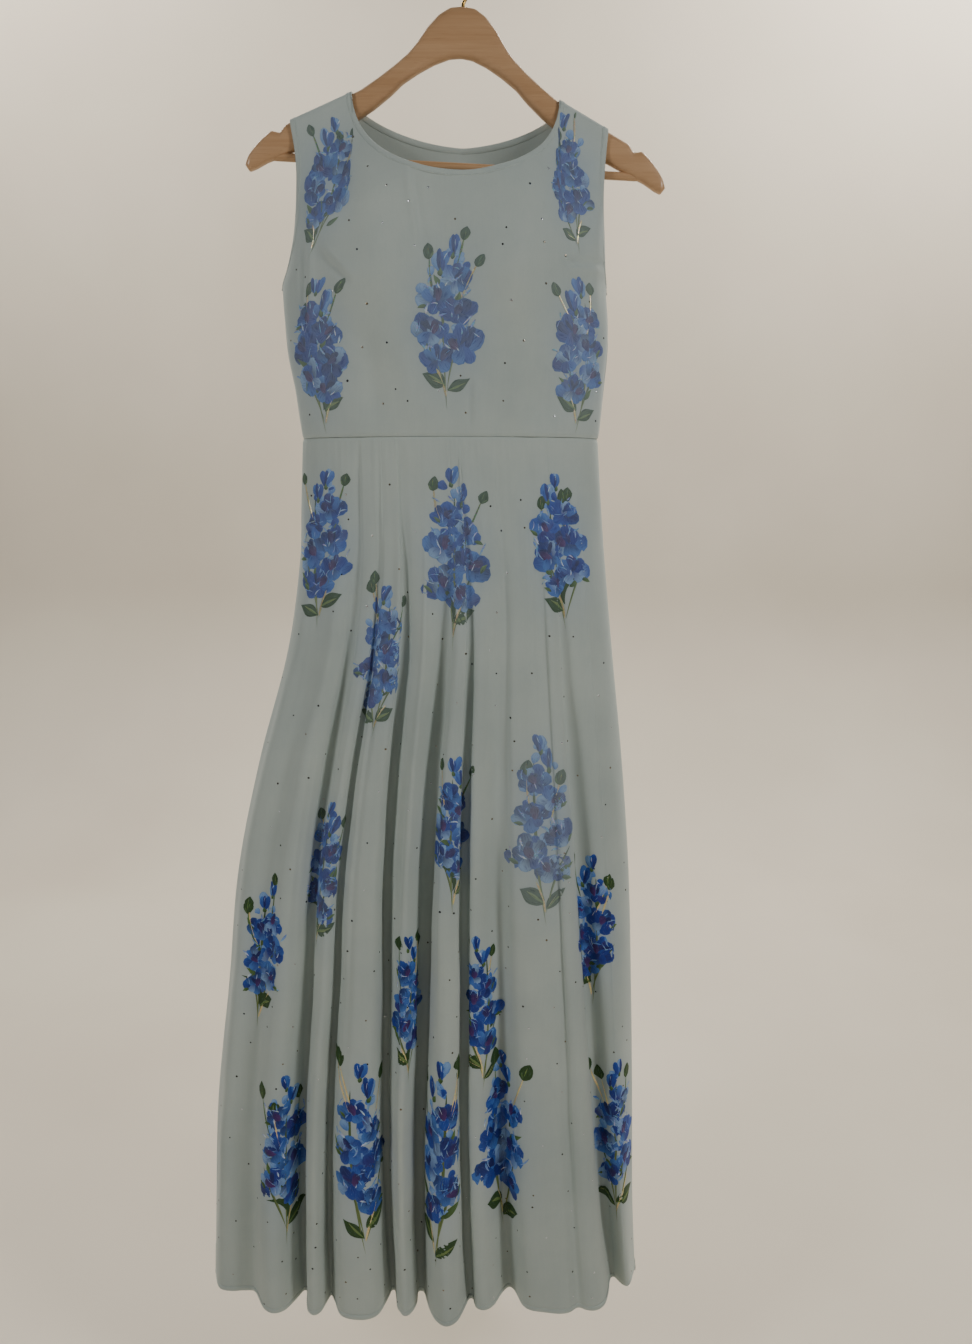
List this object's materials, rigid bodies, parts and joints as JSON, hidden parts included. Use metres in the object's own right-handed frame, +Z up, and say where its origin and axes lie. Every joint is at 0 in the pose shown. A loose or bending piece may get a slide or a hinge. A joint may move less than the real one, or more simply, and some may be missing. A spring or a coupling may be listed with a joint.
{
  "type": "flared kurta on a wooden clothes hanger",
  "caption": "Sleeveless long flared kurta with a wide round neck, waist seam and fluted skirt, hanging on a contoured wooden hanger with a trouser bar and wire hook.",
  "frame": {"origin": "top of the inside of the hanger's hook, where it hangs on a rail", "axes": "+Z up, +X along the hanger to the viewer's right, -Y out of the front of the garment"},
  "size_m": [0.557, 0.174, 1.5718],
  "materials": {
    "crepe": "matt crepe in pale duck-egg blue with painted blue flower sprays and small sequins",
    "hanger_wood": "satin varnished beech",
    "hook_wire": "polished brass-plated wire"
  },
  "bodies": {
    "root": {"front_bodice": "crepe", "back_bodice": "crepe", "front_skirt": "crepe", "back_skirt": "crepe", "hanger_arms": "hanger_wood", "hanger_bar": "hanger_wood", "hanger_hook": "hook_wire"}
  },
  "joints": []
}
